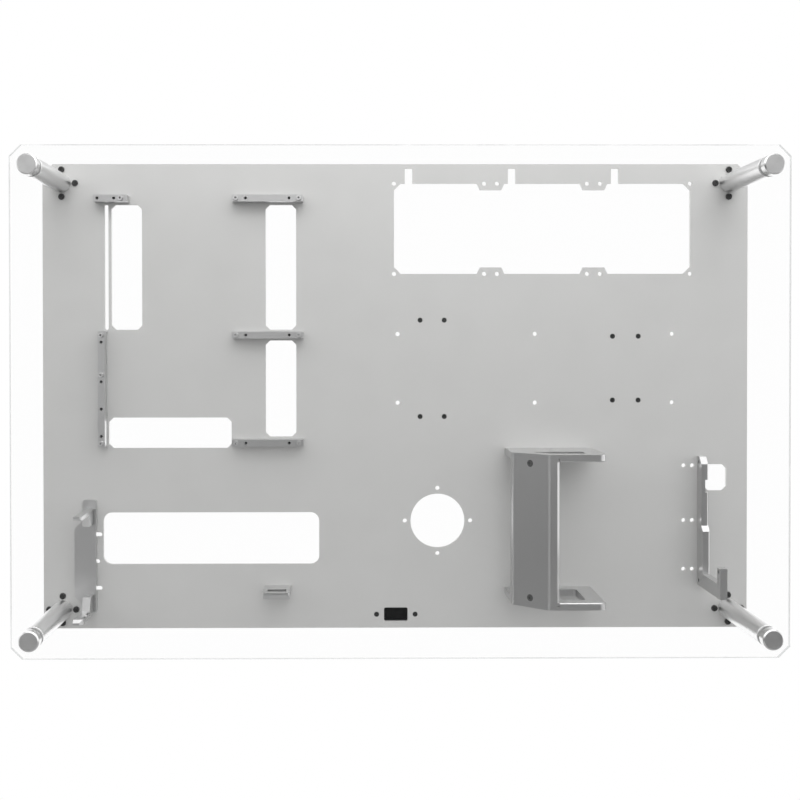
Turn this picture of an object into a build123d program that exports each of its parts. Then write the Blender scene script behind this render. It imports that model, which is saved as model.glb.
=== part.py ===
from build123d import *
import math
import os

# The case is drawn as it hangs: x runs to the right, y up the wall and z out from the wall.
# Lengths are in millimetres. The origin is on the wall, in the middle of the four wall feet.

# Sheet, clear panel, corner posts and wall feet
sheet_width = 820.0
sheet_height = 540.0
sheet_thickness = 4.0
corner_cut = 12.0
panel_thickness = 5.0
post_inset = 22.0
post_diameter = 22.0
post_length = 130.0
post_edge = 0.4
spigot_diameter = 14.0
spigot_grip = 20.0
spigot_clearance = 0.2
cap_length = 12.0
cap_bevel = 1.4
cap_stud_diameter = 8.0
cap_stud_grip = 18.0
cap_stud_clearance = 2.0
washer_diameter = 20.0
washer_thickness = 1.0
foot_height = 40.0
foot_flange_diameter = 44.0
foot_flange_thickness = 6.0
foot_waist_diameter = 28.0
foot_floor = 6.0
wall_screw_hole = 6.5
flange_screw_radius = 15.65
flange_screw_length = 10.0

# Stock and fasteners
bar_stock = 8.0
thread_gap = 0.1
m4_core = 3.2
m4_hole = 5.0
m4_pan_diameter = 8.0
m4_pan_height = 2.6
m4_button_diameter = 7.5
m4_button_height = 2.2
m4_sunk_diameter = 7.8
m4_sunk_height = 2.4
m3_core = 2.4
m3_hole = 3.4
m3_sunk_diameter = 5.8
m3_sunk_height = 1.7
sunk_clearance = 0.1
socket_share = 0.5
rear_screw_grip = 8.0

# Motherboard field: the hole pattern of a full-size board, from its lower left hole
board_inset = 70.6
board_drop = 41.06
tab_column = 22.86
middle_column = 154.94
right_column = 227.33
side_row = 78.74
middle_row = 124.46
top_row = 281.94
rail_height = 15.0
rail_end = 5.0
rail_corner = 1.0
rail_screw_step = 8.0
rail_screw_pitch = 50.0
short_rail_reach = 27.0
standoff_diameter = 5.4
standoff_height = 4.0
standoff_grip = 7.0
standoff_bore = 2.5

# Cable windows
window_width = 35.5
window_corner = 5.0
window_land = 6.3
slit_width = 4.5
slit_land = 3.4
side_window_offset = 9.2
low_window_length = 142.5
low_window_rise = 28.6
middle_window_offset = 188.15
card_window_inset = 69.7
card_window_rise = 74.6
card_window_width = 251.0
card_window_height = 60.5
card_window_round = 10.0

# Radiator field: three fans side by side
fan_inset = 239.5
fan_drop = 75.0
fan_pitch = 120.0
fan_hole_pitch = 105.0
fan_corner = 7.8
fan_tab_base = 32.0
fan_tab_tip = 25.0
fan_tab_depth = 7.5
fan_notch_width = 8.8
fan_notch_height = 17.5
fan_notch_offset = 35.5

# Service row: pump hole, power supply cradle, end bracket and mains cut-out
service_rise = 125.0
pump_inset = 361.4
pump_hole = 63.0
pump_screw_circle = 76.2
supply_height = 150.0
supply_depth = 86.0
supply_clearance = 2.0
supply_screw_edge = 6.0
supply_screw_offset = 30.0
supply_screw_hole = 4.0
cradle_inset = 282.8
cradle_width = 100.0
cradle_depth = 90.0
cradle_cut_across = 36.0
cradle_cut_out = 32.0
cradle_bend = 6.0
cradle_front_round = 9.0
cradle_edge = 1.0
cradle_border = 17.0
cradle_end_border = 20.0
cradle_window_round = 4.0
cradle_screw_margin = 14.0
cover_thickness = 4.0
cover_leg = 12.0
cover_end_bevel = 2.6
cover_end_round = 4.0
cover_gap = 0.1
cover_screw_edge = 6.7
cover_screw_length = 12.0
cleat_length = 16.0
cleat_depth = 10.0
cleat_height = 8.0
bracket_inset = 58.0
bracket_bar = 16.0
bracket_step = 6.0
bracket_step_height = 71.0
bracket_top_bevel = 8.0
bracket_edge = 1.3
bracket_arm = 16.0
bracket_lip = 10.5
bracket_lip_height = 34.0
bracket_screw_heights = (18.0, 75.0, 139.0)
bracket_hole_pitch = 10.0
bracket_hole_columns = 3
bracket_notch_depth = 3.5
bracket_notch_height = 15.0
bracket_notch_rise = 109.0
mains_width = 25.8
mains_height = 30.8
mains_rise = 109.6
mains_corner = 4.5

# Graphics card holder and support shelf
card_inset = 62.4
card_base_rise = 30.0
card_base_width = 24.7
card_base_length = 96.0
card_neck_width = 16.0
card_neck_length = 14.2
card_tab_length = 10.0
card_tab_thickness = 3.0
card_tab_round = 2.5
card_bracket_drop = 113.7
card_clip_inset = 2.9
card_clip_width = 9.0
card_leg = 21.0
card_leg_end = 15.0
card_top_arm = 62.0
card_bottom_arm = 65.0
card_top_arm_thickness = 4.2
card_bottom_arm_thickness = 5.6
card_tip_height = 2.3
card_tip_corner = 1.8
card_arm_step = 1.9
card_top_leg_height = 18.2
card_bottom_leg_height = 14.5
card_slot_pitch = 20.32
card_slot_offset = 33.0
card_pocket_length = 13.0
card_pocket_depth = 3.0
card_pocket_height = 2.8
card_screw_inset = 5.7
card_screw_pitch = 31.25
card_screw_rise = 17.0
card_slot_lengths = (23.0, 17.4, 23.0)
card_slot_height = 5.0
clip_screw_length = 12.0
clip_screw_pitch = 9.0
support_inset = 273.0
support_rise = 50.0
support_width = 30.0
support_reach = 44.0
support_bevel = 5.5
support_corner = 1.4
support_window_width = 21.5
support_window_depth = 11.0
support_window_back = 24.0
support_screw_pitch = 18.0

# Drive bays behind the sheet, mounting grid and socket insert
drive_drop = 237.4
drive_gap = 0.3
disk_inset = 367.6
disk_width = 101.6
disk_rail_width = 10.0
disk_rail_depth = 15.0
disk_rail_length = 116.0
disk_hole_pitch = 101.6
disk_hole = 3.8
disk_hole_rise = 9.4
disk_screw_pitch = 28.1
card_disk_inset = 142.4
card_disk_width = 69.85
card_disk_rail_width = 4.0
card_disk_rail_depth = 9.0
card_disk_rail_length = 90.0
card_disk_hole_pitch = 76.6
card_disk_hole = 3.4
card_disk_hole_rise = 5.0
card_disk_screw_pitch = 30.0
drive_screw_grip = 6.0
grid_inset = 247.8
grid_pitch_across = 160.0
grid_pitch_up = 80.0
insert_rise = 15.7
insert_width = 27.5
insert_height = 15.8
insert_round = 2.0
insert_wall = 2.5
insert_depth = 14.0
insert_recess = 11.0
insert_flange_thickness = 3.0
insert_screw_pitch = 45.0
insert_flange_end = 5.0

# Places that several pieces share
left = -sheet_width / 2
right = sheet_width / 2
low = -sheet_height / 2
high = sheet_height / 2
sheet_back = foot_height
sheet_front = sheet_back + sheet_thickness
post_end = sheet_front + post_length
panel_back = post_end + washer_thickness
panel_front = panel_back + panel_thickness
cap_back = panel_front + washer_thickness
m4_tapped = m4_core + thread_gap
m3_tapped = m3_core + thread_gap
board_x = left + board_inset
board_y = high - board_drop - top_row
fan_x = right - fan_inset
fan_y = high - fan_drop
service_y = low + service_rise
pump_x = right - pump_inset
cradle_x = right - cradle_inset
cradle_inner_low = service_y - supply_height / 2 - supply_clearance
cradle_inner_high = service_y + supply_height / 2 + supply_clearance
bracket_x = right - bracket_inset
bracket_low = service_y - supply_height / 2
bracket_high = service_y + supply_height / 2
card_x = left + card_inset
card_low = low + card_base_rise
card_high = card_low + card_base_length
card_neck_high = card_high + card_neck_length
card_arm_level = card_neck_high - card_bracket_drop
card_neck_low = card_arm_level - card_bottom_arm_thickness
card_clip_x = card_x - card_clip_inset - card_clip_width
support_x = left + support_inset
support_high = low + support_rise
drive_y = high - drive_drop
insert_y = low + insert_rise
post_places = [
    (side * (sheet_width / 2 - post_inset), end * (sheet_height / 2 - post_inset))
    for end in (1, -1)
    for side in (-1, 1)
]
post_names = ("upper_left", "upper_right", "lower_left", "lower_right")


def block(x_range, y_range, z_range):
    """A box between two places along each axis."""
    ranges = (x_range, y_range, z_range)
    middle = [(first + last) / 2 for first, last in ranges]
    return Pos(*middle) * Box(*[last - first for first, last in ranges])


def rod(place, z_range, diameter):
    """A round bar along z, standing at a place on the sheet."""
    start, end = z_range
    return Pos(*place, start) * extrude(Circle(diameter / 2), end - start)


def polygon(points):
    """A flat face with straight edges between the points."""
    return make_face(Polyline(*points, close=True))


def window(x_range, y_range, corner):
    """The face of an opening with cut corners."""
    shape = Rectangle(x_range[1] - x_range[0], y_range[1] - y_range[0])
    return Pos(sum(x_range) / 2, sum(y_range) / 2) * chamfer(shape.vertices(), corner)


def round_window(middle, width, height, radius):
    """The face of an opening with round corners."""
    return Pos(*middle) * RectangleRounded(width, height, radius)


def corner_wedge(end, front, size, y_range):
    """What is cut off where a piece's right end meets its front."""
    corner = polygon([(end - size, front), (end, front), (end, front - size)])
    return extrude(Plane((0, y_range[1], 0), (1, 0, 0), (0, -1, 0)) * corner, y_range[1] - y_range[0])


def spread(middle, pitch, count):
    """Places along a line, evenly spaced about its middle."""
    return [middle + pitch * (index - (count - 1) / 2) for index in range(count)]


def grid(columns, rows):
    """Every crossing of the columns and the rows."""
    return [(x, y) for x in columns for y in rows]


def hex_socket(head_diameter, depth):
    """The key socket in a screw's head, below z = 0."""
    return Pos(0, 0, -depth) * extrude(RegularPolygon(head_diameter * socket_share / 2, 6), 2 * depth)


def taper(start_diameter, end_diameter, height):
    """A round piece that narrows or widens upward from z = 0."""
    return Cone(start_diameter / 2, end_diameter / 2, height, align=(Align.CENTER, Align.CENTER, Align.MIN))


def head_screw(diameter, height, core, length):
    """A screw whose head stands on z = 0 and whose shank points down."""
    head = taper(diameter, diameter - height / 2, height)
    shank = rod((0, 0), (-length, 0), core)
    return head + shank - Pos(0, 0, height) * hex_socket(diameter, height / 2)


def sunk_head(diameter, core, height):
    """The cone of a countersunk head, its flat face at z = 0."""
    return Pos(0, 0, -height) * taper(core, diameter, height)


def sunk_screw(diameter, core, height, length):
    """A countersunk screw, flush with z = 0 and pointing down."""
    screw = sunk_head(diameter, core, height) + rod((0, 0), (-length, -height), core)
    return screw - hex_socket(diameter, height / 2)


def sunk_hole(diameter, hole, height, depth):
    """What a countersunk screw needs cut out below z = 0."""
    cone = sunk_head(diameter + 2 * sunk_clearance, hole, height)
    return cone + rod((0, 0), (-depth, 0), hole)


def rear_screws(places, length):
    """Pan-head screws that come through the sheet from behind."""
    screw = head_screw(m4_pan_diameter, m4_pan_height, m4_core, length)
    return [Pos(x, y, sheet_back) * Rot(180, 0, 0) * screw for x, y in places]


def tapped_holes(places, z_range, core=m4_core):
    """Holes for screw threads, along z."""
    return [rod(place, z_range, core + thread_gap) for place in places]


def rear_tapped_holes(places):
    """Holes in a bracket's back edge for the screws that come through the sheet."""
    return tapped_holes(places, (sheet_front, sheet_front + rear_screw_grip + m4_core))


def board_rails():
    """Each rail's name with its two ends, its stand-off places and its screw places, seen on the sheet."""
    columns = (board_x + middle_column, board_x + right_column)
    rows = {"lower": board_y, "middle": board_y + middle_row, "upper": board_y + top_row}
    rails = {}
    for name, row in rows.items():
        screws = grid(spread(sum(columns) / 2, rail_screw_pitch, 2), [row])
        rails[f"board_rail_{name}"] = ((columns[0], row), (columns[1], row), grid(columns, [row]), screws)
    side_places = [board_y + rise for rise in (0, side_row, middle_row)]
    side_screws = [
        board_y + rail_screw_step,
        board_y + side_row / 2,
        board_y + side_row - rail_screw_step,
        board_y + middle_row - rail_screw_step,
    ]
    rails["board_rail_side"] = (
        (board_x, side_places[0]),
        (board_x, side_places[-1]),
        grid([board_x], side_places),
        grid([board_x], side_screws),
    )
    tab = (board_x + tab_column, board_y + top_row)
    short_screws = [(tab[0] - reach, tab[1]) for reach in (rail_screw_step, short_rail_reach)]
    rails["board_rail_corner"] = (short_screws[-1], (tab[0] + rail_end / 2, tab[1]), [tab], short_screws)
    return rails


def board_rail(start, end, standoffs, screws):
    """A bar on the sheet that carries stand-offs, with its tapped holes."""
    upright = start[0] == end[0]
    reach = (bar_stock / 2, rail_end) if upright else (rail_end, bar_stock / 2)
    x_range = (start[0] - reach[0], end[0] + reach[0])
    y_range = (start[1] - reach[1], end[1] + reach[1])
    bar = block(x_range, y_range, (sheet_front, sheet_front + rail_height))
    bar = fillet(bar.edges().filter_by(Axis.Z), rail_corner)
    seat = sheet_front + rail_height - standoff_grip
    bar -= tapped_holes(screws, (sheet_front, sheet_front + rail_height))
    return bar - tapped_holes(standoffs, (seat, sheet_front + rail_height))


def standoff(place):
    """A turned stand-off that carries the board, with its thread in the rail."""
    top = sheet_front + rail_height
    body = rod(place, (top, top + standoff_height), standoff_diameter)
    stud = rod(place, (top - standoff_grip, top), m4_core)
    return body + stud - rod(place, (top - standoff_grip / 2, top + standoff_height), standoff_bore)


def board_windows():
    """Cable windows round the motherboard."""
    rows = [board_y, board_y + middle_row, board_y + top_row]
    upper = (rows[1] + window_land, rows[2] - window_land)
    middle = (rows[0] + window_land, rows[1] - window_land)
    side_x = board_x + side_window_offset
    middle_x = board_x + middle_window_offset
    low_x = board_x + side_window_offset - slit_land
    low_y = board_y + low_window_rise
    slit_x = (low_x - slit_width, low_x)
    cuts = [window((start, start + window_width), upper, window_corner) for start in (side_x, middle_x)]
    cuts.append(window((middle_x, middle_x + window_width), middle, window_corner))
    cuts.append(window((low_x, low_x + low_window_length), (low_y - window_width, low_y), window_corner))
    cuts.append(window(slit_x, upper, slit_width / 4))
    card_middle = (
        left + card_window_inset + card_window_width / 2,
        low + card_window_rise + card_window_height / 2,
    )
    cuts.append(round_window(card_middle, card_window_width, card_window_height, card_window_round))
    return cuts


def fan_window():
    """The radiator opening through the fans' outer screw holes, with its screw tabs and cable notches."""
    width = 2 * fan_pitch + fan_hole_pitch
    edge = fan_y + fan_hole_pitch / 2
    opening = window((fan_x - width / 2, fan_x + width / 2), (fan_y - fan_hole_pitch / 2, edge), fan_corner)
    tab = polygon([
        (-fan_tab_base / 2, 0),
        (fan_tab_base / 2, 0),
        (fan_tab_tip / 2, -fan_tab_depth),
        (-fan_tab_tip / 2, -fan_tab_depth),
    ])
    for x in spread(fan_x, fan_pitch, 2):
        opening -= Pos(x, edge) * tab
        opening -= Pos(x, fan_y - fan_hole_pitch / 2) * Rot(0, 0, 180) * tab
    for x in spread(fan_x, fan_pitch, 3):
        notch_middle = (x - fan_notch_offset, edge + fan_notch_height / 2 - fan_corner / 2)
        opening += Pos(*notch_middle) * Rectangle(fan_notch_width, fan_notch_height + fan_corner)
    return opening


def sheet_holes():
    """Every round screw hole in the sheet, as (place, diameter)."""
    holes = [(place, spigot_diameter + 2 * spigot_clearance) for place in post_places]
    holes += [(place, m4_hole) for place in flange_screw_places()]
    holes += [(place, m4_hole) for rail in board_rails().values() for place in rail[3]]
    fan_columns = [x for middle in spread(fan_x, fan_pitch, 3) for x in spread(middle, fan_hole_pitch, 2)]
    holes += [(place, m4_hole) for place in grid(fan_columns, spread(fan_y, fan_hole_pitch, 2))]
    pump_screws = [Vector(pump_screw_circle / 2, 0).rotate(Axis.Z, 90 * turn) for turn in range(4)]
    holes += [((pump_x + place.X, service_y + place.Y), m4_hole) for place in pump_screws]
    holes.append(((pump_x, service_y), pump_hole))
    grid_x = right - grid_inset
    columns = spread(grid_x, grid_pitch_across, 3)
    holes += [(place, m4_hole) for place in grid(columns, spread(drive_y, grid_pitch_up, 2))]
    holes += [(place, m4_hole) for place in bracket_holes()]
    holes += [(place, m4_hole) for place in cradle_screw_places()]
    return holes + [(place, m4_hole) for place in support_screw_places()]


def back_plate():
    """The sheet that carries everything, with all its windows, slots and screw holes."""
    face = window((left, right), (low, high), corner_cut)
    face -= board_windows()
    face -= fan_window()
    mains_x = bracket_x + bar_stock
    mains_y = bracket_low + mains_rise
    face -= window((mains_x, mains_x + mains_width), (mains_y, mains_y + mains_height), mains_corner)
    face -= round_window((0, insert_y), insert_width, insert_height, insert_round)
    face -= [Pos(*place) * Circle(diameter / 2) for place, diameter in sheet_holes()]
    for (x, y), length in zip(card_screw_places(), card_slot_lengths):
        face -= Pos(x, y) * SlotOverall(length, card_slot_height)
    plate = Pos(0, 0, sheet_back) * extrude(face, sheet_thickness)
    sunk = sunk_hole(m3_sunk_diameter, m3_hole, m3_sunk_height, sheet_thickness)
    return plate - [Pos(x, y, sheet_front) * sunk for x, y in drive_screw_places() + insert_screw_places()]


def front_panel():
    """The clear panel that the caps clamp to the posts."""
    face = window((left, right), (low, high), corner_cut)
    hole = cap_stud_diameter + cap_stud_clearance
    face -= [Pos(*place) * Circle(hole / 2) for place in post_places]
    return Pos(0, 0, panel_back) * extrude(face, panel_thickness)


def post(place):
    """A turned post with a spigot that screws into its wall foot."""
    body = rod(place, (sheet_front, post_end), post_diameter)
    body = chamfer(body.edges().filter_by(GeomType.CIRCLE), post_edge)
    spigot = rod(place, (sheet_back - spigot_grip, sheet_front), spigot_diameter)
    bore = (post_end - cap_stud_grip - cap_stud_clearance, post_end)
    return body + spigot - rod(place, bore, cap_stud_diameter + thread_gap)


def post_cap(place):
    """A turned cap with its stud, which goes through the panel into the post."""
    head = rod(place, (cap_back, cap_back + cap_length), post_diameter)
    head = chamfer(head.edges().group_by(Axis.Z)[-1], cap_bevel)
    return head + rod(place, (post_end - cap_stud_grip, cap_back), cap_stud_diameter)


def washer(place, back):
    """A soft washer between a metal face and the panel."""
    hole = cap_stud_diameter + cap_stud_clearance
    ring = rod(place, (back, back + washer_thickness), washer_diameter)
    return ring - rod(place, (back, back + washer_thickness), hole)


def flange_screw_places():
    """Four screws round each post, to the left, right, top and bottom of it."""
    turns = [Vector(flange_screw_radius, 0).rotate(Axis.Z, 90 * turn) for turn in range(4)]
    return [(x + turn.X, y + turn.Y) for x, y in post_places for turn in turns]


def wall_foot(place):
    """A turned foot between the wall and the sheet, open in front until its post closes it."""
    flange = foot_flange_thickness
    foot = rod(place, (0, foot_height), foot_waist_diameter)
    foot += rod(place, (0, flange), foot_flange_diameter)
    foot += rod(place, (foot_height - flange, foot_height), foot_flange_diameter)
    foot -= rod(place, (foot_floor, foot_height), spigot_diameter + thread_gap)
    foot -= rod(place, (0, foot_floor), wall_screw_hole)
    reach = flange_screw_radius + m4_pan_diameter
    near = [spot for spot in flange_screw_places() if math.dist(spot, place) < reach]
    return foot - tapped_holes(near, (foot_height - flange, foot_height))


def flange_screws():
    """Button-head screws that fasten the sheet to the wall feet."""
    screw = head_screw(m4_button_diameter, m4_button_height, m4_core, flange_screw_length)
    return [Pos(x, y, sheet_front) * screw for x, y in flange_screw_places()]


def cradle_face():
    """The outline of a cradle shelf, seen from below: x across and z out from the sheet."""
    bend_out = cradle_depth - cradle_cut_out
    face = polygon([
        (0, 0),
        (0, bend_out),
        (cradle_cut_across, cradle_depth),
        (cradle_width, cradle_depth),
        (cradle_width, 0),
    ])
    corners = face.vertices().sort_by(Axis.Y)
    face = fillet(corners[2], cradle_bend)
    front = [corner for corner in face.vertices() if abs(corner.Y - cradle_depth) < 1e-3]
    front.sort(key=lambda corner: corner.X)
    face = fillet(front[0], cradle_bend)
    last = max(face.vertices(), key=lambda corner: corner.X + corner.Y)
    return fillet(last, cradle_front_round)


def in_cradle(shape, level):
    """A flat cradle shape laid level, at a height above the sheet's lower edge."""
    return Plane((cradle_x, level, sheet_front), (1, 0, 0), (0, -1, 0)) * shape


def cover_band(gap):
    """The part of the shelf outline that the cover takes up, widened by a gap."""
    face = cradle_face()
    core = offset(face, -(cover_thickness + gap), kind=Kind.INTERSECTION)
    start = cradle_depth - cradle_cut_out - cover_leg - gap
    end = cradle_cut_across + cover_leg + gap
    reach = Pos(end / 2, (start + cradle_depth) / 2) * Rectangle(end, cradle_depth - start)
    return (face - core) & reach


def window_bend():
    """The slanting edge's turn from straight out, and how far out the shelf window's corner lies."""
    bend = math.atan2(cradle_cut_across, cradle_cut_out)
    return bend, cradle_depth - cradle_cut_out - cradle_border * math.tan(bend / 2)


def cradle_window(back):
    """The opening in a shelf, a border's width inside its outline and in front of a line."""
    bend, bend_out = window_bend()
    front = cradle_depth - cradle_border
    end = cradle_width - cradle_end_border
    cut_x = cradle_border + (front - bend_out) * math.tan(bend)
    corners = [(cut_x, front), (end, front), (end, back)]
    if back < bend_out:
        corners += [(cradle_border, back), (cradle_border, bend_out)]
    else:
        corners.append((cradle_border + (back - bend_out) * math.tan(bend), back))
    face = polygon(corners)
    return fillet(face.vertices(), cradle_window_round)


def cradle_shelf(upper):
    """A shelf of the cradle, with its window, its rebate for the cover and its screw holes."""
    bottom = cradle_inner_high if upper else cradle_inner_low - bar_stock
    window_back = window_bend()[1] + cradle_window_round / 2 if upper else cradle_border
    face = cradle_face() - cradle_window(window_back)
    shelf = extrude(in_cradle(face, bottom + bar_stock), bar_stock)
    rebate = bar_stock / 2 + cover_gap
    rebate_top = bottom + rebate if upper else bottom + bar_stock
    shelf -= extrude(in_cradle(cover_band(cover_gap), rebate_top), rebate)
    inner_edges = shelf.edges().group_by(Axis.Y)[0 if upper else -1]
    front_edge = inner_edges.filter_by(Axis.X).sort_by(Axis.Z)[-1]
    shelf = chamfer(front_edge, cradle_edge)
    return shelf - rear_tapped_holes(
        place for place in cradle_screw_places() if bottom < place[1] < bottom + bar_stock
    )


def cradle_screw_places():
    """Two screws into the back edge of each shelf."""
    columns = [cradle_x + cradle_screw_margin, cradle_x + cradle_width - cradle_screw_margin]
    return grid(columns, [cradle_inner_low - bar_stock / 2, cradle_inner_high + bar_stock / 2])


def cover_screw_frames():
    """Where the cover's screws sit: on its slanting face, with z pointing out of the face."""
    out = sheet_front + cradle_depth - cradle_cut_out / 2
    across = cradle_x + cradle_cut_across / 2
    edge = bar_stock / 2 - cover_screw_edge
    slant = Vector(-cradle_cut_out, 0, cradle_cut_across)
    return [
        Plane((across, level, out), (0, 1, 0), slant)
        for level in (cradle_inner_high + edge, cradle_inner_low - edge)
    ]


def psu_cover():
    """The folded cover across the corner of the cradle, let into both shelves."""
    top = cradle_inner_high + bar_stock / 2
    height = top - cradle_inner_low + bar_stock / 2
    cover = extrude(in_cradle(cover_band(0), top), height)
    end_face = cover.faces().sort_by(Axis.X)[-1]
    cover = fillet(end_face.edges().filter_by(Axis.Z), cover_end_round)
    end_x = cradle_x + cradle_cut_across + cover_leg
    front = sheet_front + cradle_depth
    cover -= corner_wedge(end_x, front, cover_end_bevel, (cradle_inner_low, cradle_inner_high))
    hole = sunk_hole(m4_sunk_diameter, m4_core + 2 * thread_gap, m4_sunk_height, 2 * cover_thickness)
    return cover - [frame * hole for frame in cover_screw_frames()]


def cover_cleats():
    """Blocks on the shelves' inner faces that the cover's screws go into."""
    cleats = []
    sides = ((cradle_inner_high, -1), (cradle_inner_low, 1))
    for frame, (inner, side) in zip(cover_screw_frames(), sides):
        level = inner + side * cleat_height / 2
        middle = frame.to_local_coords(Vector(frame.origin.X, level, frame.origin.Z))
        solid = Box(cleat_height, cleat_length, cleat_depth)
        solid = Pos(middle.X, 0, -cover_thickness - cleat_depth / 2) * solid
        bore = rod((0, 0), (-cover_screw_length - thread_gap, 0), m4_tapped)
        cleats.append(frame * (solid - bore))
    return cleats


def bracket_holes():
    """The columns of holes that let the end bracket move to suit the supply's length."""
    first = bracket_x + bar_stock / 2
    columns = [first - index * bracket_hole_pitch for index in range(bracket_hole_columns)]
    return grid(columns, [bracket_low + height for height in bracket_screw_heights])


def psu_end_bracket():
    """The bracket that the supply's socket end screws to, one profile cut from bar stock."""
    step = bracket_low + bracket_step_height
    lip_top = bracket_low + bracket_lip_height
    arm_top = bracket_low + bracket_arm
    bar = sheet_front + bracket_bar
    wide = bar + bracket_step
    lip_front = sheet_front + supply_depth - supply_screw_edge + bracket_lip / 2
    lip_back = lip_front - bracket_lip
    profile = polygon([
        (bracket_low, sheet_front),
        (bracket_high, sheet_front),
        (bracket_high, bar - bracket_top_bevel),
        (bracket_high - bracket_top_bevel, bar),
        (step, bar),
        (step - bracket_step, wide),
        (arm_top, wide),
        (arm_top, lip_back),
        (lip_top, lip_back),
        (lip_top, lip_front),
        (bracket_low, lip_front),
    ])
    frame = Plane((bracket_x, 0, 0), (0, 1, 0), (1, 0, 0))
    bracket = extrude(frame * profile, bar_stock)
    right_edges = bracket.edges().filter_by(Axis.Y).group_by(Axis.X)[-1]
    _, bar_edges, wide_edges, *_ = right_edges.group_by(Axis.Z)
    bracket = chamfer(bar_edges + wide_edges, bracket_edge)
    notch_low = bracket_low + bracket_notch_rise
    end = bracket_x + bar_stock
    notch = ((end - bracket_notch_depth, end), (notch_low, notch_low + bracket_notch_height))
    bracket -= block(*notch, (sheet_front, bar))
    screws = [
        (bracket_low + supply_screw_edge, sheet_front + supply_screw_edge),
        (bracket_high - supply_screw_edge, sheet_front + supply_screw_edge),
        (bracket_low + supply_screw_offset, sheet_front + supply_depth - supply_screw_edge),
    ]
    bracket -= [frame * rod(place, (0, bar_stock), supply_screw_hole) for place in screws]
    return bracket - rear_tapped_holes(bracket_screw_places())


def bracket_screw_places():
    """The screws that hold the end bracket, in its right-hand column of holes."""
    return [place for place in bracket_holes() if place[0] > bracket_x]


def card_screw_places():
    """The screws that hold the card holder, in slots that let it move sideways."""
    first = card_low + card_screw_rise
    return [(card_x - card_screw_inset, first + index * card_screw_pitch) for index in range(3)]


def clip_screw_places():
    """Two screws behind each clip of the card holder, upper pair first."""
    top = card_neck_high - bar_stock / 2
    bottom = card_neck_low + bar_stock / 2
    middle = card_clip_x + card_clip_width / 2
    pairs = ((top, top - clip_screw_pitch), (bottom + clip_screw_pitch, bottom))
    return [[(middle, y) for y in pair] for pair in pairs]


def gpu_base():
    """The holder's base on the sheet, with a neck behind each clip and a thin tab at its upper end."""
    edge = card_x - card_base_width
    neck = card_x - card_neck_width
    cut = card_base_width - card_neck_width
    face = polygon([
        (card_x, card_neck_low),
        (neck, card_neck_low),
        (neck, card_low),
        (edge, card_low + cut),
        (edge, card_high - cut),
        (neck, card_high),
        (neck, card_neck_high),
        (card_x, card_neck_high),
    ])
    base = Pos(0, 0, sheet_front) * extrude(face, bar_stock)
    tab_y = (card_neck_high, card_neck_high + card_tab_length)
    tab = block((neck, card_x), tab_y, (sheet_front, sheet_front + card_tab_thickness))
    base += fillet(tab.edges().filter_by(Axis.Z).group_by(Axis.Y)[-1], card_tab_round)
    base -= tapped_holes(card_screw_places(), (sheet_front, sheet_front + bar_stock - m4_core / 2))
    hole = Rot(180, 0, 0) * sunk_hole(m3_sunk_diameter, m3_hole, m3_sunk_height, bar_stock)
    return base - [Pos(x, y, sheet_front) * hole for pair in clip_screw_places() for x, y in pair]


def card_prism(profile, width):
    """A piece of the card holder with this profile, seen from the right."""
    return extrude(Plane((card_clip_x, 0, 0), (0, 1, 0), (1, 0, 0)) * polygon(profile), width)


def card_clip(leg, arm, arm_width, places):
    """A clip of the card holder: a sloping leg on the base and an arm, cut off at its front corner."""
    seat = sheet_front + bar_stock
    tip = max(out for y, out in arm)
    heights = [y for y, out in arm]
    corner = card_tip_corner + arm_width - card_clip_width
    clip = card_prism(leg, card_clip_width) + card_prism(arm, arm_width)
    clip -= corner_wedge(card_clip_x + arm_width, tip, corner, (min(heights), max(heights)))
    return clip - tapped_holes(places, (seat, seat + clip_screw_length - bar_stock + m3_core), m3_core)


def card_slots():
    """How far out from the sheet the two card slots lie."""
    first = sheet_front + bar_stock + card_slot_offset
    return [first, first + card_slot_pitch]


def gpu_clip_top():
    """The upper clip, whose arm takes the screw tabs of the card's end plate."""
    seat = sheet_front + bar_stock
    under = card_neck_high - card_top_arm_thickness
    bevel = card_top_arm_thickness - card_tip_height
    leg = [
        (card_neck_high, seat),
        (card_neck_high, seat + card_leg),
        (under, seat + card_leg),
        (card_neck_high - card_top_leg_height, seat + card_leg_end),
        (card_neck_high - card_top_leg_height, seat),
    ]
    arm = [
        (card_neck_high, seat + card_leg),
        (card_neck_high, seat + card_top_arm),
        (under + bevel, seat + card_top_arm),
        (under, seat + card_top_arm - bevel),
        (under, seat + card_leg),
    ]
    clip = card_clip(leg, arm, card_clip_width, clip_screw_places()[0])
    turn = Plane((card_clip_x + card_clip_width / 2, under, 0), (1, 0, 0), (0, 1, 0))
    holes = [rod((0, -out), (0, card_top_arm_thickness), m3_tapped) for out in card_slots()]
    return clip - [turn * hole for hole in holes]


def gpu_clip_bottom():
    """The lower clip, whose arm takes the tongues of the card's end plate in two pockets."""
    seat = sheet_front + bar_stock
    top = card_arm_level + card_bottom_leg_height
    bevel = card_bottom_arm_thickness - card_tip_height
    leg = [
        (top, seat),
        (top, seat + card_leg_end),
        (card_arm_level, seat + card_leg),
        (card_neck_low, seat + card_leg),
        (card_neck_low, seat),
    ]
    arm = [
        (card_arm_level, seat + card_leg),
        (card_arm_level, seat + card_bottom_arm - bevel),
        (card_arm_level - bevel, seat + card_bottom_arm),
        (card_neck_low, seat + card_bottom_arm),
        (card_neck_low, seat + card_leg),
    ]
    arm_width = card_clip_width + card_arm_step
    clip = card_clip(leg, arm, arm_width, clip_screw_places()[1])
    end = card_clip_x + arm_width
    for out in card_slots():
        z_range = (out - card_pocket_length / 2, out + card_pocket_length / 2)
        y_range = (card_arm_level - card_pocket_height, card_arm_level)
        clip -= block((end - card_pocket_depth, end), y_range, z_range)
    return clip


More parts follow.
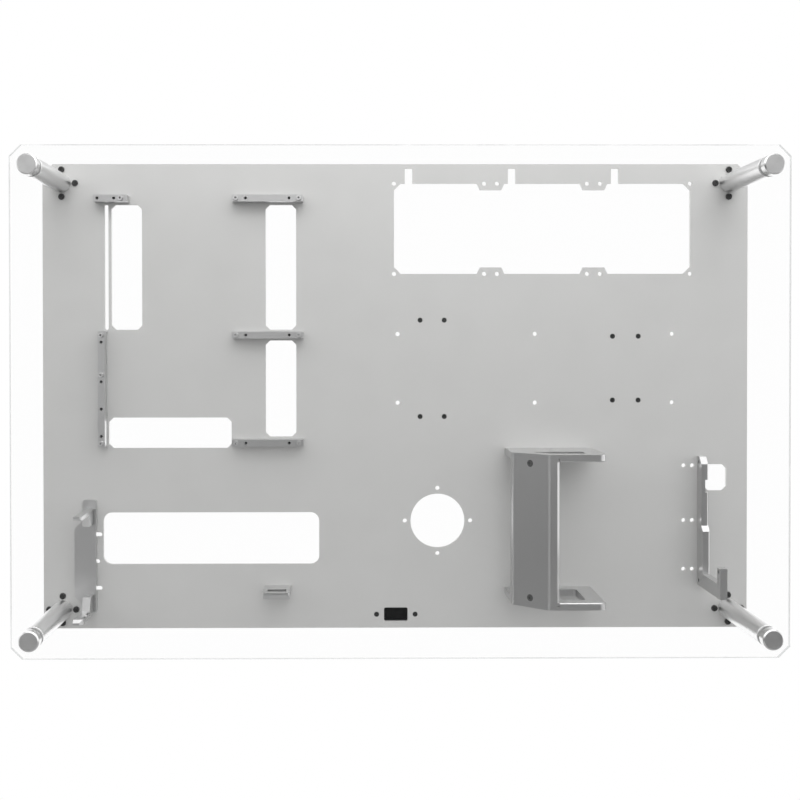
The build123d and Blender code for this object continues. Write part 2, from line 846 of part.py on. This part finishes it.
def clip_screws():
    """Countersunk screws through the base into the clips."""
    screw = Rot(180, 0, 0) * sunk_screw(m3_sunk_diameter, m3_core, m3_sunk_height, clip_screw_length)
    return [Pos(x, y, sheet_front) * screw for pair in clip_screw_places() for x, y in pair]


def support_screw_places():
    """Two screws into the back edge of the support shelf."""
    return grid(spread(support_x, support_screw_pitch, 2), [support_high - bar_stock / 2])


def gpu_support_shelf():
    """The small shelf that carries the card's free end, bevelled under its front edge."""
    front = sheet_front + support_reach
    profile = polygon([
        (support_high, sheet_front),
        (support_high, front),
        (support_high - bar_stock + support_bevel, front),
        (support_high - bar_stock, front - support_bevel),
        (support_high - bar_stock, sheet_front),
    ])
    frame = Plane((support_x - support_width / 2, 0, 0), (0, 1, 0), (1, 0, 0))
    shelf = extrude(frame * profile, support_width)
    front_edges = shelf.edges().filter_by(Axis.Y).group_by(Axis.Z)[-1]
    shelf = chamfer(front_edges, support_corner)
    side = support_window_width / 2
    window_back = sheet_front + support_window_back
    z_range = (window_back, window_back + support_window_depth)
    shelf -= block((support_x - side, support_x + side), (support_high - bar_stock, support_high), z_range)
    return shelf - rear_tapped_holes(support_screw_places())


def drive_rail_places(inset, drive_width, rail_width, screw_pitch):
    """The upper and lower rail of a drive bay, each as its middle height and its two screw places."""
    reach = drive_width / 2 + drive_gap + rail_width / 2
    columns = spread(right - inset, screw_pitch, 2)
    return [(y, grid(columns, [y])) for y in (drive_y + reach, drive_y - reach)]


def disk_bay():
    """Rail places of the bay for a large drive."""
    return drive_rail_places(disk_inset, disk_width, disk_rail_width, disk_screw_pitch)


def card_disk_bay():
    """Rail places of the bay for a small drive."""
    return drive_rail_places(card_disk_inset, card_disk_width, card_disk_rail_width, card_disk_screw_pitch)


def drive_screw_places():
    """The screws in front of the sheet that hold the rails of both bays."""
    return [place for y, places in disk_bay() + card_disk_bay() for place in places]


def drive_rail(middle, size, screws, holes):
    """A rail behind the sheet, drilled from its side for the drive's own screws."""
    length, width, depth = size
    hole, hole_pitch, hole_rise = holes
    x, y = middle
    x_range = (x - length / 2, x + length / 2)
    rail = block(x_range, (y - width / 2, y + width / 2), (sheet_back - depth, sheet_back))
    rail -= tapped_holes(screws, (sheet_back - drive_screw_grip - m3_core, sheet_back), m3_core)
    side = Plane((0, y - width / 2, 0), (1, 0, 0), (0, 1, 0))
    places = [(across, hole_rise - sheet_back) for across in spread(x, hole_pitch, 2)]
    return rail - [side * rod(place, (0, width), hole) for place in places]


def drive_screws(places):
    """Flush screws through the sheet into what is behind it."""
    screw = sunk_screw(m3_sunk_diameter, m3_core, m3_sunk_height, sheet_thickness + drive_screw_grip)
    return [Pos(x, y, sheet_front) * screw for x, y in places]


def insert_screw_places():
    """The two screws beside the socket insert."""
    return grid(spread(0, insert_screw_pitch, 2), [insert_y])


def socket_insert():
    """A moulded cup behind the small window in the lower edge, with a flange for its two screws."""
    outer_width = insert_width + 2 * insert_wall
    outer_height = insert_height + 2 * insert_wall
    flange_width = insert_screw_pitch + 2 * insert_flange_end
    flange = round_window((0, insert_y), flange_width, outer_height, insert_flange_end)
    body = round_window((0, insert_y), outer_width, outer_height, insert_round + insert_wall)
    recess = round_window((0, insert_y), insert_width, insert_height, insert_round)
    cup = Pos(0, 0, sheet_back) * extrude(flange, -insert_flange_thickness)
    cup += Pos(0, 0, sheet_back) * extrude(body, -insert_depth)
    cup -= Pos(0, 0, sheet_back) * extrude(recess, -insert_recess)
    return cup - tapped_holes(insert_screw_places(), (sheet_back - insert_depth, sheet_back), m3_core)


def insert_screws():
    """Short flush screws that hold the socket insert."""
    length = sheet_thickness + insert_flange_thickness
    screw = sunk_screw(m3_sunk_diameter, m3_core, m3_sunk_height, length)
    return [Pos(x, y, sheet_front) * screw for x, y in insert_screw_places()]


def corner_nodes():
    """The wall feet, posts, caps and washers of the four corners."""
    nodes = {}
    for name, place in zip(post_names, post_places):
        nodes[f"wall_foot_{name}"] = [wall_foot(place)]
        nodes[f"post_{name}"] = [post(place)]
        nodes[f"post_cap_{name}"] = [post_cap(place)]
    nodes["rear_washers"] = [washer(place, post_end) for place in post_places]
    nodes["front_washers"] = [washer(place, panel_front) for place in post_places]
    nodes["flange_screws"] = flange_screws()
    return nodes


def board_nodes():
    """The motherboard's rails, stand-offs and rail screws."""
    rails = board_rails()
    nodes = {name: [board_rail(*rail)] for name, rail in rails.items()}
    nodes["board_standoffs"] = [standoff(place) for rail in rails.values() for place in rail[2]]
    screw_places = [place for rail in rails.values() for place in rail[3]]
    nodes["rail_screws"] = rear_screws(screw_places, sheet_thickness + rear_screw_grip)
    return nodes


def supply_nodes():
    """The power supply's cradle, cover and end bracket."""
    length = sheet_thickness + rear_screw_grip
    sunk = sunk_screw(m4_sunk_diameter, m4_core, m4_sunk_height, cover_screw_length)
    return {
        "psu_shelf_top": [cradle_shelf(True)],
        "psu_shelf_bottom": [cradle_shelf(False)],
        "psu_shelf_screws": rear_screws(cradle_screw_places(), length),
        "psu_cover": [psu_cover()],
        "psu_cover_cleats": cover_cleats(),
        "psu_cover_screws": [frame * sunk for frame in cover_screw_frames()],
        "psu_end_bracket": [psu_end_bracket()],
        "psu_end_bracket_screws": rear_screws(bracket_screw_places(), length),
    }


def card_nodes():
    """The graphics card's holder and support shelf."""
    return {
        "gpu_base": [gpu_base()],
        "gpu_clip_top": [gpu_clip_top()],
        "gpu_clip_bottom": [gpu_clip_bottom()],
        "gpu_clip_screws": clip_screws(),
        "gpu_base_screws": rear_screws(card_screw_places(), sheet_thickness + bar_stock / 2),
        "gpu_support_shelf": [gpu_support_shelf()],
        "gpu_support_screws": rear_screws(support_screw_places(), sheet_thickness + rear_screw_grip),
    }


def drive_nodes():
    """The rails and screws of the two drive bays, and the socket insert."""
    nodes = {}
    disk_size = (disk_rail_length, disk_rail_width, disk_rail_depth)
    disk_holes = (disk_hole, disk_hole_pitch, disk_hole_rise)
    card_disk_size = (card_disk_rail_length, card_disk_rail_width, card_disk_rail_depth)
    card_disk_holes = (card_disk_hole, card_disk_hole_pitch, card_disk_hole_rise)
    for name, (y, screws) in zip(("upper", "lower"), disk_bay()):
        nodes[f"disk_rail_{name}"] = [drive_rail((right - disk_inset, y), disk_size, screws, disk_holes)]
    for name, (y, screws) in zip(("upper", "lower"), card_disk_bay()):
        middle = (right - card_disk_inset, y)
        nodes[f"ssd_rail_{name}"] = [drive_rail(middle, card_disk_size, screws, card_disk_holes)]
    nodes["drive_rail_screws"] = drive_screws(drive_screw_places())
    nodes["socket_insert"] = [socket_insert()]
    nodes["socket_insert_screws"] = insert_screws()
    return nodes


def save(name, pieces):
    """Writes one node, turned so that the wall lies in the plane y = 0 and the case faces -y."""
    solids = [Plane.XZ.location * solid for piece in pieces for solid in piece.solids()]
    export_step(Compound(solids), f"parts/{name}.step")


def main():
    """Builds every node and writes it to its file."""
    os.makedirs("parts", exist_ok=True)
    nodes = {"back_plate": [back_plate()], "front_panel": [front_panel()]}
    for group in (corner_nodes, board_nodes, supply_nodes, card_nodes, drive_nodes):
        nodes.update(group())
    for name, pieces in nodes.items():
        save(name, pieces)


main()
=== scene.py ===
"""Finishes, studio and camera for the wall-mount computer case."""

import logging
import math
from dataclasses import dataclass
from enum import Enum
from itertools import pairwise

import bpy
from mathutils import Matrix, Vector


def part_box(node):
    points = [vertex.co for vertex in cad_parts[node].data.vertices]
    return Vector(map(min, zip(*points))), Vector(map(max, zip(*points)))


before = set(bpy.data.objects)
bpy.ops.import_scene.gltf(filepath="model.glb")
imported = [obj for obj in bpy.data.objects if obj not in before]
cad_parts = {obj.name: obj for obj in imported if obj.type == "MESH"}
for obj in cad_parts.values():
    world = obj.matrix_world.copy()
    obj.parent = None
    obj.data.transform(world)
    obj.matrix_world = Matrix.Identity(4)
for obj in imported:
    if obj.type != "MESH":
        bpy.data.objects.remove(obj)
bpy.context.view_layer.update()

log = logging.getLogger("computer_case")

MILLIMETRE = 0.001
CORNERS = ("upper_left", "upper_right", "lower_left", "lower_right")

# The sRGB curve: a straight start, then a power.
BYTE_TOP = 255
STRAIGHT_END = 0.04045
STRAIGHT_SLOPE = 12.92
CURVE_OFFSET = 0.055
CURVE_POWER = 2.4


class FineLines(Enum):
    """Which way the fine lines of a cut or turned surface run."""

    NONE = "none"
    ROUND_AXIS = "round_axis"
    LEVEL = "level"


def linear(hex_colour: str, share: float = 1.0) -> tuple[float, float, float, float]:
    """Turns a screen colour into the linear light that the shaders take.

    Args:
        hex_colour: Six hex digits, red then green then blue.
        share: The share of the colour's light that is left.

    Returns:
        Red, green, blue and an alpha of one.
    """
    light = []
    for start in (0, 2, 4):
        channel = int(hex_colour[start:start + 2], 16) / BYTE_TOP
        if channel <= STRAIGHT_END:
            channel = channel / STRAIGHT_SLOPE
        else:
            channel = ((channel + CURVE_OFFSET) / (1 + CURVE_OFFSET)) ** CURVE_POWER
        light.append(channel * share)
    return (*light, 1.0)


def empty_tree(owner: bpy.types.Material | bpy.types.World) -> bpy.types.NodeTree:
    """Gives a new material or world a node tree with nothing in it.

    Args:
        owner: The material or world.

    Returns:
        Its node tree.
    """
    owner.use_nodes = True
    owner.node_tree.nodes.clear()
    return owner.node_tree


def add_node(
    tree: bpy.types.NodeTree,
    kind: str,
    inputs: dict[str | int, object] | None = None,
    **settings: object,
) -> bpy.types.Node:
    """Adds one shader node, sets it up and links what feeds it.

    Args:
        tree: The node tree that takes the node.
        kind: The node's type name without its ShaderNode prefix.
        inputs: Socket name or place, with the value or the output socket that it gets.
        **settings: The node's own settings.

    Returns:
        The new node.
    """
    node = tree.nodes.new(f"ShaderNode{kind}")
    for name, value in settings.items():
        setattr(node, name, value)
    for name, value in (inputs or {}).items():
        if isinstance(value, bpy.types.NodeSocket):
            tree.links.new(value, node.inputs[name])
        else:
            node.inputs[name].default_value = value
    return node


def per_length(millimetres: float) -> float:
    """The texture scale that gives features of this real size."""
    return 1 / (millimetres * MILLIMETRE)


@dataclass(frozen=True)
class MetalFinish:
    """A bare or anodised metal surface, with its grain, clouds and lines in millimetres.

    Blast grain is nearer 0.1 mm and lathe lines nearer 0.15 mm. Both are drawn coarser, or even a
    close view wouldn't show them.
    """

    name: str
    colour: str
    roughness: float
    grain: float = 0.35
    grain_depth: float = 0.004
    grain_detail: float = 2.0
    clouding: float = 45.0
    clouding_share: float = 0.05
    clouding_detail: float = 3.0
    lines: FineLines = FineLines.NONE
    line_pitch: float = 0.4
    line_depth: float = 0.003

    def material(self, centre: Vector | None = None) -> bpy.types.Material:
        """Builds the finish.

        Args:
            centre: A point on the axis that turned lines run round.

        Returns:
            The new material.
        """
        material = bpy.data.materials.new(self.name)
        tree = empty_tree(material)
        place = add_node(tree, "TexCoord").outputs["Object"]
        clouds = add_node(tree, "TexNoise", {
            "Vector": place, "Scale": per_length(self.clouding), "Detail": self.clouding_detail,
        })
        roughness = add_node(tree, "MapRange", {
            "Value": clouds.outputs["Fac"],
            "To Min": self.roughness * (1 - self.clouding_share),
            "To Max": self.roughness * (1 + self.clouding_share),
        })
        tint = add_node(tree, "Mix", {
            0: clouds.outputs["Fac"],
            "A": linear(self.colour),
            "B": linear(self.colour, 1 - self.clouding_share),
        }, data_type="RGBA")
        grain = add_node(tree, "TexNoise", {
            "Vector": place, "Scale": per_length(self.grain), "Detail": self.grain_detail,
        })
        bump = add_node(tree, "Bump", {
            "Height": grain.outputs["Fac"], "Distance": self.grain_depth * MILLIMETRE,
        })
        if self.lines is not FineLines.NONE:
            bump = self.add_lines(tree, place, centre, bump)
        surface = add_node(tree, "BsdfPrincipled", {
            "Base Color": tint.outputs["Result"],
            "Metallic": 1.0,
            "Roughness": roughness.outputs["Result"],
            "Normal": bump.outputs["Normal"],
        })
        add_node(tree, "OutputMaterial", {"Surface": surface.outputs["BSDF"]})
        return material

    def add_lines(
        self,
        tree: bpy.types.NodeTree,
        place: bpy.types.NodeSocket,
        centre: Vector | None,
        under: bpy.types.Node,
    ) -> bpy.types.Node:
        """Adds the fine lines that a lathe or a cutter leaves.

        Args:
            tree: The material's node tree.
            place: The socket that gives the place on the piece.
            centre: A point on the axis that turned lines run round.
            under: The bump that the lines lie on.

        Returns:
            The bump node with both.
        """
        if self.lines is FineLines.ROUND_AXIS:
            from_axis = add_node(tree, "VectorMath", {
                0: place, 1: centre or Vector(),
            }, operation="SUBTRACT")
            parts = add_node(tree, "SeparateXYZ", {"Vector": from_axis.outputs["Vector"]})
            flat = add_node(tree, "CombineXYZ", {"X": parts.outputs["X"], "Z": parts.outputs["Z"]})
            radius = add_node(tree, "VectorMath", {0: flat.outputs["Vector"]}, operation="LENGTH")
            travel = add_node(tree, "Math", {
                0: radius.outputs["Value"], 1: parts.outputs["Y"],
            }, operation="ADD").outputs["Value"]
        else:
            travel = add_node(tree, "SeparateXYZ", {"Vector": place}).outputs["Z"]
        phase = add_node(tree, "Math", {
            0: travel, 1: math.tau * per_length(self.line_pitch),
        }, operation="MULTIPLY")
        wave = add_node(tree, "Math", {0: phase.outputs["Value"]}, operation="SINE")
        return add_node(tree, "Bump", {
            "Height": wave.outputs["Value"],
            "Distance": self.line_depth * MILLIMETRE,
            "Normal": under.outputs["Normal"],
        })


@dataclass(frozen=True)
class CoatedFinish:
    """A surface that isn't bare metal, mottled by a grain in millimetres.

    The grain of black oxide, nylon and rubber is nearer 0.05 mm. It is drawn coarser, or even a
    close view wouldn't show it.
    """

    name: str
    colour: str
    roughness: float
    grain: float = 0.5
    grain_depth: float = 0.01
    grain_detail: float = 3.0
    grain_shade: float = 0.7
    specular: float = 0.5

    def material(self) -> bpy.types.Material:
        """Builds the finish.

        Returns:
            The new material.
        """
        material = bpy.data.materials.new(self.name)
        tree = empty_tree(material)
        place = add_node(tree, "TexCoord").outputs["Object"]
        grain = add_node(tree, "TexNoise", {
            "Vector": place, "Scale": per_length(self.grain), "Detail": self.grain_detail,
        })
        tint = add_node(tree, "Mix", {
            0: grain.outputs["Fac"],
            "A": linear(self.colour),
            "B": linear(self.colour, self.grain_shade),
        }, data_type="RGBA")
        bump = add_node(tree, "Bump", {
            "Height": grain.outputs["Fac"], "Distance": self.grain_depth * MILLIMETRE,
        })
        surface = add_node(tree, "BsdfPrincipled", {
            "Base Color": tint.outputs["Result"],
            "Roughness": self.roughness,
            "Specular IOR Level": self.specular,
            "Normal": bump.outputs["Normal"],
        })
        add_node(tree, "OutputMaterial", {"Surface": surface.outputs["BSDF"]})
        return material


@dataclass(frozen=True)
class ClearSheetFinish:
    """A clear sheet: see-through where it faces front or back, faintly grey along its edges.

    The alphas are shares of light stopped. A surface counts as an edge while it faces the front by
    less than edge_facing, and as a face from face_facing on.
    """

    name: str
    colour: str
    face_alpha: float
    edge_alpha: float
    roughness: float
    edge_facing: float = 0.3
    face_facing: float = 0.9

    def material(self) -> bpy.types.Material:
        """Builds the finish.

        Returns:
            The new material.
        """
        material = bpy.data.materials.new(self.name)
        tree = empty_tree(material)
        normal = add_node(tree, "NewGeometry").outputs["Normal"]
        facing = add_node(tree, "SeparateXYZ", {"Vector": normal}).outputs["Y"]
        flatness = add_node(tree, "Math", {0: facing}, operation="ABSOLUTE").outputs["Value"]
        alpha = add_node(tree, "MapRange", {
            "Value": flatness,
            "From Min": self.edge_facing,
            "From Max": self.face_facing,
            "To Min": self.edge_alpha,
            "To Max": self.face_alpha,
        })
        surface = add_node(tree, "BsdfPrincipled", {
            "Base Color": linear(self.colour),
            "Roughness": self.roughness,
            "Alpha": alpha.outputs["Result"],
        })
        add_node(tree, "OutputMaterial", {"Surface": surface.outputs["BSDF"]})
        return material


# Aluminium sheet, bead blasted and clear anodised: an even, soft grey that takes no highlight.
BLASTED_SHEET = MetalFinish("bead_blasted_anodised_aluminium", "D9D9D8", 0.66)
# Aluminium bar, milled and anodised: flat faces turn dark, and cut edges catch the light.
MILLED_STOCK = MetalFinish("milled_anodised_aluminium", "C6C6C6", 0.3, lines=FineLines.LEVEL)
# Aluminium bar, turned and anodised: faint rings that draw the light out along each post.
TURNED_BAR = MetalFinish(
    "turned_anodised_aluminium", "E4E4E4", 0.36, lines=FineLines.ROUND_AXIS, line_pitch=0.3,
)
# Aluminium bar, faced and anodised: smoother, so each cap shows the part of the room it faces.
FACED_BAR = MetalFinish(
    "faced_anodised_aluminium", "D4D4D4", 0.26, lines=FineLines.ROUND_AXIS, line_pitch=0.3,
)
# Turned bar in the small: stand-offs that are brighter than the rails under them.
TURNED_STANDOFF = MetalFinish("turned_standoff_aluminium", "D8D8D8", 0.3)
# Hardened steel under black oxide: nearly black, with a soft grey glint.
BLACK_OXIDE = CoatedFinish("black_oxide_screw_steel", "1B1B1B", 0.38, specular=0.6)
# Plain steel, tumbled after heading: a dark grey cone in the pale cover.
TUMBLED_STEEL = MetalFinish("tumbled_screw_steel", "787878", 0.32, clouding=6.0)
# Nylon, moulded: a flat black with next to no reflection.
MOULDED_NYLON = CoatedFinish("moulded_black_nylon", "101010", 0.75, specular=0.2)
# Clear rubber, die-cut: as pale as the metal, with only a faint line where it meets the panel.
WASHER_RUBBER = CoatedFinish("die_cut_washer_rubber", "C6C6C6", 0.6, specular=0.4)
# Acrylic sheet, cast and sawn: only its cut edges show against white.
CAST_ACRYLIC = ClearSheetFinish("cast_acrylic_sheet", "B8BCBC", 0.012, 0.45, 0.12)
# Matt paint, rolled: a pale studio floor with no shine.
FLOOR_PAINT = CoatedFinish("rolled_matt_paint", "D4D4D4", 0.9, grain=4.0, specular=0.1)


def dress(node: str, material: bpy.types.Material) -> None:
    """Gives one CAD node its material.

    Args:
        node: The node's name.
        material: The finish that it gets.
    """
    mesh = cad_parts[node].data
    mesh.materials.clear()
    mesh.materials.append(material)
    for face in mesh.polygons:
        face.material_index = 0
    log.info("dressed %s in %s", node, material.name)


def centre_of(node: str) -> Vector:
    """The middle of a CAD node's box."""
    low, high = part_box(node)
    return (low + high) / 2


@dataclass
class SheetAndPanel:
    """The metal sheet that carries everything and the clear panel in front of it."""

    sheet: str = "back_plate"
    panel: str = "front_panel"
    insert: str = "socket_insert"

    def dress(self) -> None:
        """Dresses the sheet, the panel and the insert that sits in the sheet."""
        dress(self.sheet, BLASTED_SHEET.material())
        dress(self.panel, CAST_ACRYLIC.material())
        dress(self.insert, MOULDED_NYLON.material())


@dataclass
class Corners:
    """The turned feet, posts and caps of the four corners, with their washers."""

    turned: tuple[tuple[str, MetalFinish], ...] = (
        ("wall_foot", TURNED_BAR),
        ("post", TURNED_BAR),
        ("post_cap", FACED_BAR),
    )
    washers: tuple[str, ...] = ("rear_washers", "front_washers")

    def dress(self) -> None:
        """Dresses each turned piece with rings round its own axis."""
        for corner in CORNERS:
            for piece, finish in self.turned:
                node = f"{piece}_{corner}"
                dress(node, finish.material(centre_of(node)))
        rubber = WASHER_RUBBER.material()
        for node in self.washers:
            dress(node, rubber)


@dataclass
class BoardField:
    """The rails and stand-offs that carry the motherboard."""

    rails: tuple[str, ...] = ("corner", "lower", "middle", "side", "upper")
    standoffs: str = "board_standoffs"

    def dress(self) -> None:
        """Dresses the rails and the stand-offs."""
        stock = MILLED_STOCK.material()
        for rail in self.rails:
            dress(f"board_rail_{rail}", stock)
        dress(self.standoffs, TURNED_STANDOFF.material())


@dataclass
class Brackets:
    """Everything that was cut from stock to hold the other components."""

    pieces: tuple[str, ...] = (
        "psu_shelf_top", "psu_shelf_bottom", "psu_cover", "psu_cover_cleats", "psu_end_bracket",
        "gpu_base", "gpu_clip_top", "gpu_clip_bottom", "gpu_support_shelf",
        "disk_rail_upper", "disk_rail_lower", "ssd_rail_upper", "ssd_rail_lower",
    )

    def dress(self) -> None:
        """Dresses every bracket in the same milled finish."""
        stock = MILLED_STOCK.material()
        for piece in self.pieces:
            dress(piece, stock)


@dataclass
class Screws:
    """Every screw: black ones, and the two plain ones in the power supply's cover."""

    black: tuple[str, ...] = (
        "flange_screws", "rail_screws", "psu_shelf_screws", "psu_end_bracket_screws",
        "gpu_clip_screws", "gpu_base_screws", "gpu_support_screws", "drive_rail_screws",
        "socket_insert_screws",
    )
    plain: str = "psu_cover_screws"

    def dress(self) -> None:
        """Dresses every group of screws."""
        steel = BLACK_OXIDE.material()
        for group in self.black:
            dress(group, steel)
        dress(self.plain, TUMBLED_STEEL.material())


# How far up the levels of a wall lie, from level with the case at 0 to straight overhead at 1.
WALL_HEIGHTS = (-0.3, 0.0, 0.4, 1.0)


@dataclass(frozen=True)
class Wall:
    """How bright one side of the room is, at each of the heights in turn."""

    below: float
    level: float
    band: float
    above: float

    def light(self, tree: bpy.types.NodeTree, parts: bpy.types.Node) -> bpy.types.NodeSocket:
        """Works out how bright the wall is at a direction's height.

        Args:
            tree: The surround's node tree.
            parts: The node that gives the direction's three parts.

        Returns:
            The socket with the brightness.
        """
        total = self.below
        levels = (self.below, self.level, self.band, self.above)
        for (low, high), (under, over) in zip(pairwise(WALL_HEIGHTS), pairwise(levels)):
            step = add_node(tree, "MapRange", {
                "Value": parts.outputs["Z"],
                "From Min": low,
                "From Max": high,
                "To Min": 0.0,
                "To Max": over - under,
            })
            total = add_node(tree, "Math", {0: total, 1: step.outputs["Result"]}).outputs["Value"]
        return total


@dataclass(frozen=True)
class SideWall(Wall):
    """A wall that takes over as the direction turns its way, from start to full along an axis."""

    axis: str
    start: float
    full: float

    def share(self, tree: bpy.types.NodeTree, parts: bpy.types.Node) -> bpy.types.NodeSocket:
        """Works out how far the wall has taken over.

        Args:
            tree: The surround's node tree.
            parts: The node that gives the direction's three parts.

        Returns:
            The socket that runs from 0 to 1.
        """
        return add_node(tree, "MapRange", {
            "Value": parts.outputs[self.axis], "From Min": self.start, "From Max": self.full,
        }).outputs["Result"]


@dataclass
class Studio:
    """A room that is dark low in front, with a soft box overhead and a pale floor far below.

    Lengths are in metres and the soft box's power is in watts.
    """

    front: Wall = Wall(below=0.0, level=0.26, band=2.9, above=0.0)
    sides: tuple[SideWall, ...] = (
        SideWall(below=0.06, level=0.92, band=0.2, above=0.0, axis="X", start=0.0, full=-0.25),
        SideWall(below=0.15, level=0.25, band=2.2, above=0.65, axis="X", start=-0.45, full=-0.8),
        SideWall(below=0.0, level=0.34, band=0.8, above=0.6, axis="X", start=0.1, full=0.35),
        SideWall(below=0.6, level=1.6, band=1.8, above=1.3, axis="X", start=0.56, full=0.82),
        SideWall(below=1.4, level=1.7, band=0.8, above=0.25, axis="Y", start=-0.1, full=0.25),
    )
    floor_drop: float = 0.95
    floor_width: float = 3.6
    floor_back: float = 0.85
    floor_front: float = -2.6
    top_place: tuple[float, float, float] = (0.0, -0.75, 1.3)
    top_way: tuple[float, float, float] = (0.0, 0.15, -1.0)
    top_size: tuple[float, float] = (3.0, 1.5)
    top_power: float = 24.0

    def build(self) -> None:
        """Builds the surround, the soft box and the floor."""
        self.surround()
        self.soft_box()
        self.floor()

    def surround(self) -> None:
        """Lights the case from all round, and shows the camera plain white behind it."""
        world = bpy.data.worlds.new("studio_surround")
        tree = empty_tree(world)
        direction = add_node(tree, "TexCoord").outputs["Generated"]
        parts = add_node(tree, "SeparateXYZ", {"Vector": direction})
        level = self.front.light(tree, parts)
        for wall in self.sides:
            level = add_node(tree, "Mix", {
                0: wall.share(tree, parts), 2: level, 3: wall.light(tree, parts),
            }).outputs["Result"]
        white = (1.0, 1.0, 1.0, 1.0)
        lit = add_node(tree, "Background", {"Color": white, "Strength": level})
        seen = add_node(tree, "Background", {"Color": white})
        rays = add_node(tree, "LightPath")
        both = add_node(tree, "MixShader", {
            0: rays.outputs["Is Camera Ray"],
            1: lit.outputs["Background"],
            2: seen.outputs["Background"],
        })
        add_node(tree, "OutputWorld", {"Surface": both.outputs["Shader"]})
        bpy.context.scene.world = world

    def soft_box(self) -> None:
        """Hangs the soft box overhead, where the camera doesn't see it."""
        light = bpy.data.lights.new("top_soft_box", "AREA")
        light.shape = "RECTANGLE"
        light.size, light.size_y = self.top_size
        light.energy = self.top_power
        box = bpy.data.objects.new("top_soft_box", light)
        box.location = self.top_place
        box.rotation_euler = Vector(self.top_way).to_track_quat("-Z", "Y").to_euler()
        box.visible_camera = False
        bpy.context.scene.collection.objects.link(box)

    def floor(self) -> None:
        """Lays the pale floor below the case."""
        mesh = bpy.data.meshes.new("studio_floor")
        half = self.floor_width / 2
        level = -self.floor_drop
        corners = [
            (-half, self.floor_front, level),
            (half, self.floor_front, level),
            (half, self.floor_back, level),
            (-half, self.floor_back, level),
        ]
        mesh.from_pydata(corners, [], [(0, 1, 2, 3)])
        mesh.materials.append(FLOOR_PAINT.material())
        floor = bpy.data.objects.new("studio_floor", mesh)
        bpy.context.scene.collection.objects.link(floor)


@dataclass
class PhotoCamera:
    """The camera that sees the case as the photograph does.

    Its turns are in radians. Its focal length and centre are in the photograph's pixels.
    """

    place: tuple[float, float, float] = (-0.0559, -1.416, 0.0628)
    tilt_up: float = -0.01076
    turn_left: float = -0.006091
    roll: float = 0.000891
    focal_pixels: float = 1178.9
    centre_across: float = 354.9
    centre_down: float = 355.15
    image_side: float = 800.0
    sensor_width: float = 36.0

    def build(self) -> None:
        """Builds the camera and makes it the scene's own."""
        data = bpy.data.cameras.new("photo_camera")
        data.sensor_width = self.sensor_width
        data.lens = self.focal_pixels * self.sensor_width / self.image_side
        data.shift_x = (self.image_side / 2 - self.centre_across) / self.image_side
        data.shift_y = (self.centre_down - self.image_side / 2) / self.image_side
        camera = bpy.data.objects.new("photo_camera", data)
        camera.matrix_world = Matrix.Translation(self.place) @ self.turned().to_4x4()
        bpy.context.scene.collection.objects.link(camera)
        bpy.context.scene.camera = camera

    def turned(self) -> Matrix:
        """Works out how the camera is turned.

        Returns:
            Its axes across, up and away from the view, as columns.
        """
        about_across = Matrix.Rotation(self.tilt_up, 3, "X")
        about_up = Matrix.Rotation(self.turn_left, 3, "Y")
        about_view = Matrix.Rotation(self.roll, 3, "Z")
        rows = about_view @ about_up @ about_across
        across, up, forward = (Vector((row[0], row[2], row[1])) for row in rows)
        return Matrix((across, up, -forward)).transposed()


def main() -> None:
    """Dresses the case piece by piece, then builds the studio and the camera."""
    logging.basicConfig(level=logging.INFO)
    bpy.context.scene.view_settings.view_transform = "Standard"
    for assembly in (SheetAndPanel(), Corners(), BoardField(), Brackets(), Screws()):
        assembly.dress()
        log.info("finished %s", type(assembly).__name__)
    Studio().build()
    PhotoCamera().build()


if __name__ == "__main__":
    main()
